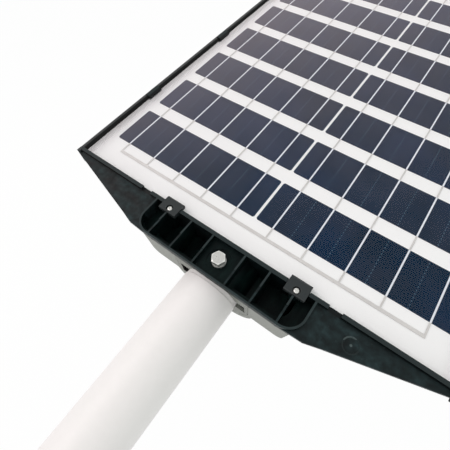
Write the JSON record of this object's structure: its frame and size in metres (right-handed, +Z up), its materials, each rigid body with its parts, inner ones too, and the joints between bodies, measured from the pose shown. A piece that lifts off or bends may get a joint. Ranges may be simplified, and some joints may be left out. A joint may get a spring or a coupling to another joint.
{
  "type": "solar street lamp",
  "caption": "All-in-one solar street lamp: a framed solar panel over a grey light body with lens windows, clamped on a round white arm by one bolt in a ribbed tail.",
  "frame": {"origin": "centre of the arm's free end, on its axis", "axes": "+Y along the arm towards the lamp head, +Z up and square to the panel, +X to the right seen along +Y"},
  "size_m": [0.351, 0.921, 0.076],
  "materials": {
    "arm_white": "satin powder coat",
    "tray_black": "moulded, fine grain",
    "clip_black": "moulded, fine grain",
    "panel_glass": "clear tempered",
    "cell_blue": "blue-black silicon under glass",
    "ribbon_tin": "tinned copper",
    "sheet_white": "white film",
    "seal_black": "silicone",
    "steel_plain": "stainless",
    "casing_grey": "moulded light grey",
    "bare_aluminium": "rolled sheet",
    "board_white": "white solder mask",
    "board_green": "green solder mask",
    "led_yellow": "phosphor",
    "lens_clear": "clear polycarbonate",
    "battery_blue": "metal can in blue shrink wrap",
    "dome_white": "milky polyethylene",
    "button_rubber": "moulded silicone"
  },
  "bodies": {
    "arm": {"arm_tube": "arm_white"},
    "head": {"upper_tray": "tray_black", "solar_glass": "panel_glass", "solar_cells": "cell_blue", "cell_ribbons": "ribbon_tin", "back_sheet": "sheet_white", "panel_seal": "seal_black", "junction_box": "clip_black", "rear_clip_left": "clip_black", "rear_clip_right": "clip_black", "rear_clip_screws": "steel_plain", "clamp_bolt": "steel_plain", "clamp_spring_washer": "steel_plain", "clamp_flat_washer": "steel_plain", "clamp_nut": "steel_plain", "pole_socket": "casing_grey", "socket_screws": "steel_plain", "lower_casing": "casing_grey", "casing_gasket": "seal_black", "casing_screws": "steel_plain", "heat_spreader": "bare_aluminium", "led_board_left": "board_white", "led_board_right": "board_white", "led_chips": "led_yellow", "lens_plate_left": "lens_clear", "lens_plate_right": "lens_clear", "lens_gasket_left": "seal_black", "lens_gasket_right": "seal_black", "lens_screws": "steel_plain", "battery_cradle": "clip_black", "battery_cells": "battery_blue", "battery_links": "steel_plain", "controller_board": "board_green", "controller_parts": "clip_black", "controller_posts": "steel_plain", "sensor_board": "board_green", "sensor_element": "steel_plain", "sensor_dome": "dome_white", "indicator_pin": "lens_clear", "switch_body": "clip_black"},
    "button": {"power_button": "button_rubber", "switch_plunger": "clip_black"}
  },
  "joints": [
    {"name": "head_roll", "type": "hinge", "parent": "arm", "child": "head", "pos_m": [0, 0.37, 0], "axis": [0, 1, 0], "continuous": true},
    {"name": "button_press", "type": "slide", "parent": "head", "child": "button", "axis": [0, 0, 1], "range_m": [0, 0.0015], "stiffness_N_per_m": 1200, "springref_m": -0.0005}
  ]
}
